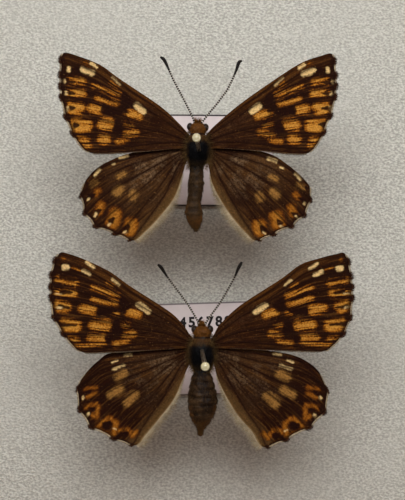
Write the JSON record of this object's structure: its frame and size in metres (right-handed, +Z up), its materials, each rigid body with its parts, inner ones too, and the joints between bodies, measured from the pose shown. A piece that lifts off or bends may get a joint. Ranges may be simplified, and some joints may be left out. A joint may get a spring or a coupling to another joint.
{
  "type": "insect collection drawer",
  "caption": "Small open wooden drawer with a pale foam lining, holding spread, pinned butterflies over paper data labels.",
  "frame": {"origin": "centre of the flat underside", "axes": "+X to the drawer's right, +Y to its back, +Z up; the knob is on the front, at -Y"},
  "size_m": [0.092, 0.125, 0.048],
  "materials": {
    "wood": "waxed hardwood",
    "plywood": "bare plywood",
    "foam": "fine-grained pale grey foam",
    "brass": "aged satin",
    "card": "matte",
    "paper": "matte",
    "wing_scales": "matte scales",
    "body_hair": "fine hair",
    "antenna": "satin",
    "steel": "drawn wire",
    "pin_enamel": "glossy"
  },
  "bodies": {
    "root": {"front_panel": "wood", "back_panel": "wood", "left_side": "wood", "right_side": "wood", "bottom_panel": "plywood", "foam_lining": "foam", "knob": "brass", "card_holder": "brass", "card": "card", "card_tack_left": "brass", "card_tack_right": "brass", "upper_body": "body_hair", "upper_forewing_left": "wing_scales", "upper_forewing_right": "wing_scales", "upper_hindwing_left": "wing_scales", "upper_hindwing_right": "wing_scales", "upper_antenna_left": "antenna", "upper_antenna_right": "antenna", "upper_pin": "steel", "upper_pin_head": "pin_enamel", "upper_label": "paper", "lower_body": "body_hair", "lower_forewing_left": "wing_scales", "lower_forewing_right": "wing_scales", "lower_hindwing_left": "wing_scales", "lower_hindwing_right": "wing_scales", "lower_antenna_left": "antenna", "lower_antenna_right": "antenna", "lower_pin": "steel", "lower_pin_head": "pin_enamel", "lower_label": "paper"}
  },
  "joints": []
}
